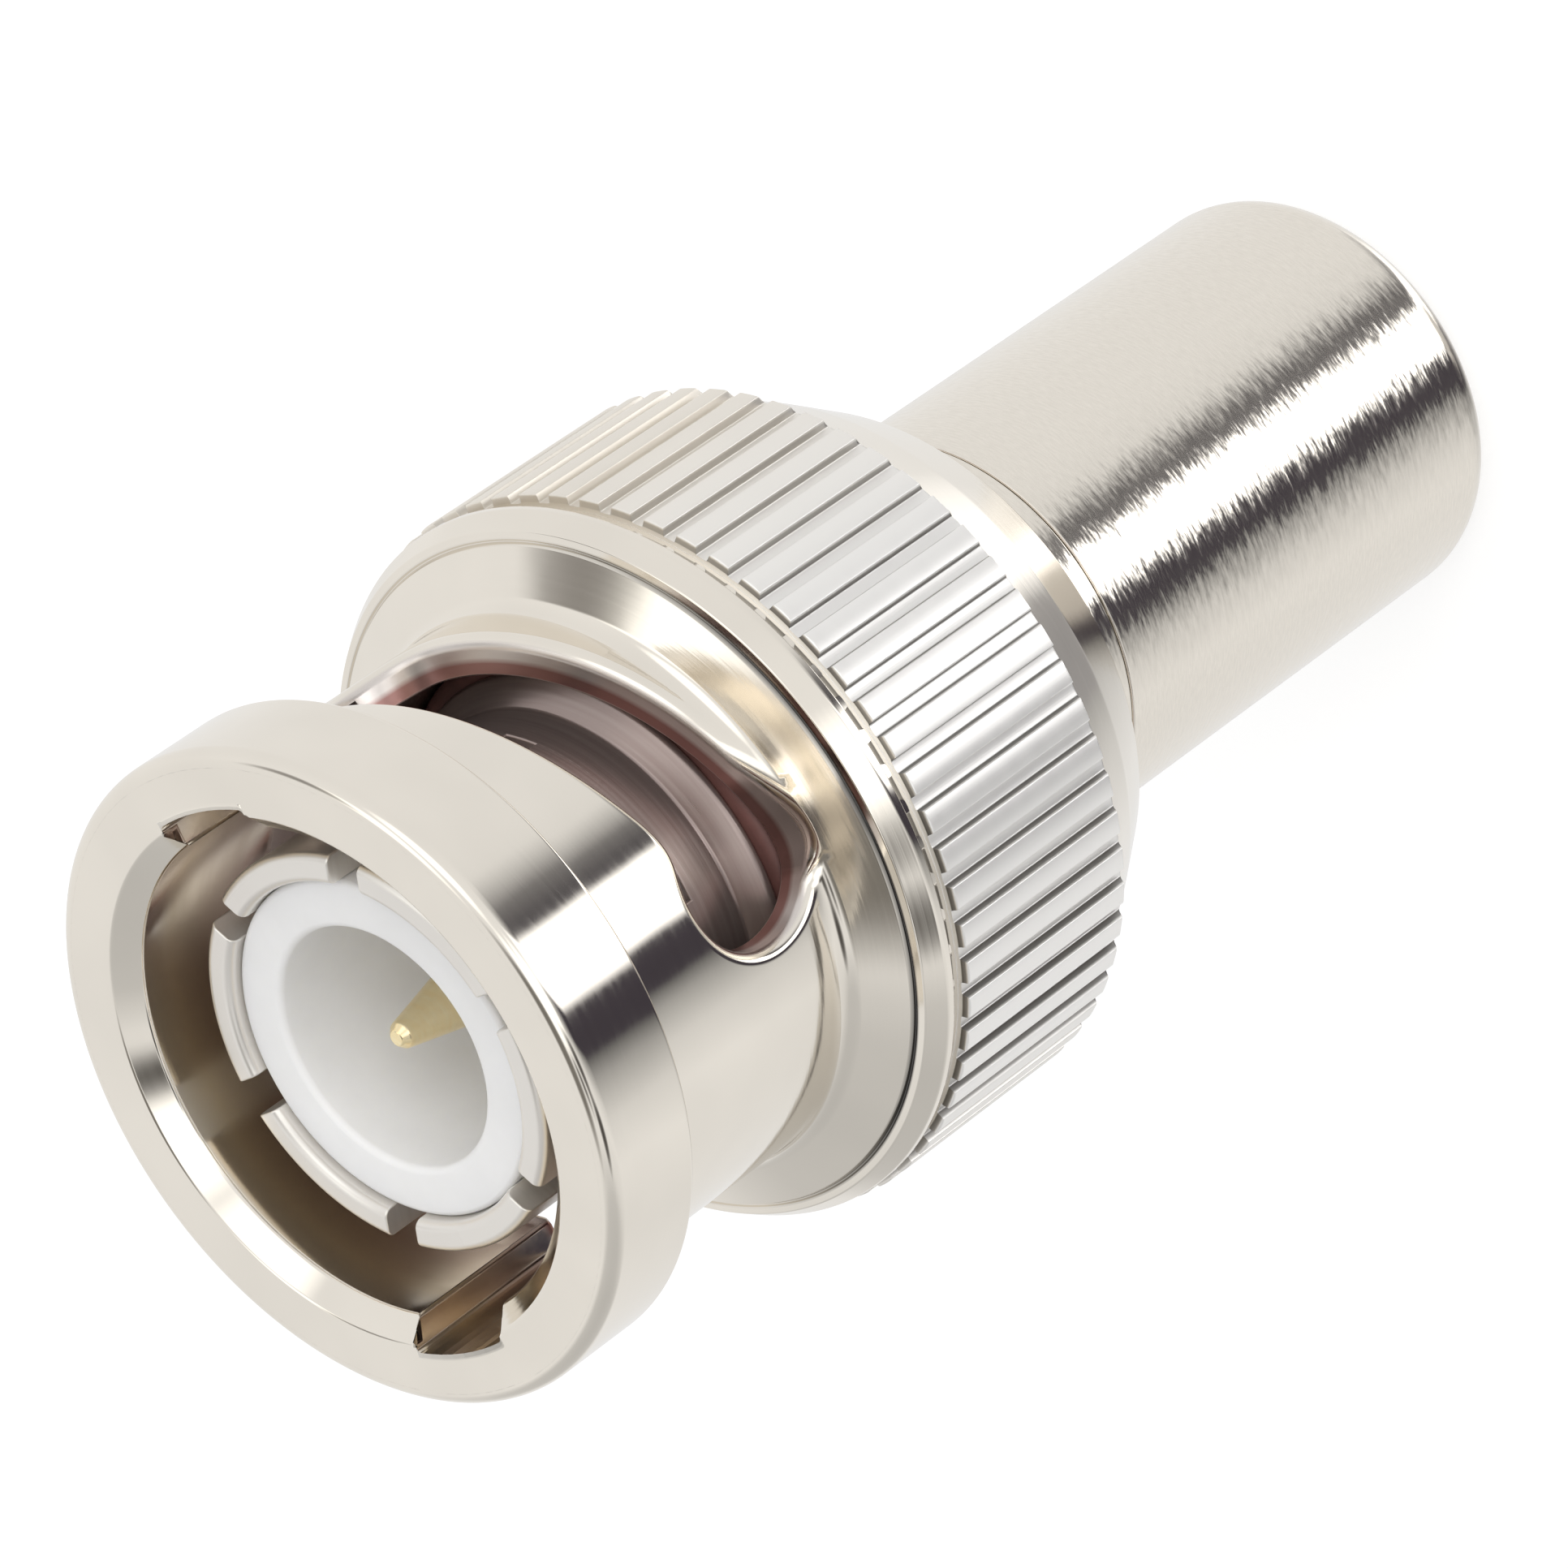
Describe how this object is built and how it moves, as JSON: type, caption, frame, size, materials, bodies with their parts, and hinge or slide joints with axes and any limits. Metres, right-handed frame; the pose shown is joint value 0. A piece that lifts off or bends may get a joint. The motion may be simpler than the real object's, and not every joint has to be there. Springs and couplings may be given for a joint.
{
  "type": "coaxial terminator",
  "caption": "Bayonet coaxial terminator: a plug with a turning, sprung coupling nut on a closed round tube that holds the load resistor.",
  "frame": {"origin": "centre of the closed rear face of the tube", "axes": "+Z along the connector's axis towards the mating face; the coupling nut's lug grooves lie on +X and -X"},
  "size_m": [0.0148, 0.0148, 0.0296],
  "materials": {
    "nickel_polished": "polished nickel plate",
    "nickel_satin": "satin nickel plate",
    "gold": "gold plate",
    "white_insulator": "satin fluoropolymer",
    "red_silicone": "matt silicone",
    "spring_steel": "plain steel",
    "solder": "bright solder",
    "tinned_wire": "tinned",
    "ceramic_rod": "unglazed ceramic",
    "lacquer": "glossy lacquer",
    "sleeve_film": "thin film"
  },
  "bodies": {
    "terminator_body": {"connector_body": "nickel_satin", "rear_shell": "nickel_satin", "outer_contact": "nickel_polished", "gasket": "red_silicone", "front_insulator": "white_insulator", "centre_pin": "gold", "rear_insulator": "white_insulator", "wave_washer": "spring_steel", "flat_washer": "spring_steel", "retaining_ring": "spring_steel", "resistor_core": "ceramic_rod", "resistor_coating": "lacquer", "resistor_cap_rear": "tinned_wire", "resistor_cap_front": "tinned_wire", "resistor_lead_rear": "tinned_wire", "resistor_lead_front": "tinned_wire", "solder_rear": "solder", "solder_front": "solder", "insulating_sleeve": "sleeve_film"},
    "thrust": {"thrust_washer": "spring_steel"},
    "nut": {"coupling_nut": "nickel_polished"}
  },
  "joints": [
    {"name": "nut_slide", "type": "slide", "parent": "terminator_body", "child": "thrust", "axis": [0, 0, 1], "range_m": [0, 0.0008], "stiffness_N_per_m": 6000, "springref_m": -0.0002, "deforming": ["wave_washer"]},
    {"name": "nut_turn", "type": "hinge", "parent": "thrust", "child": "nut", "pos_m": [0, 0, 0.01493], "axis": [0, 0, 1], "continuous": true}
  ]
}
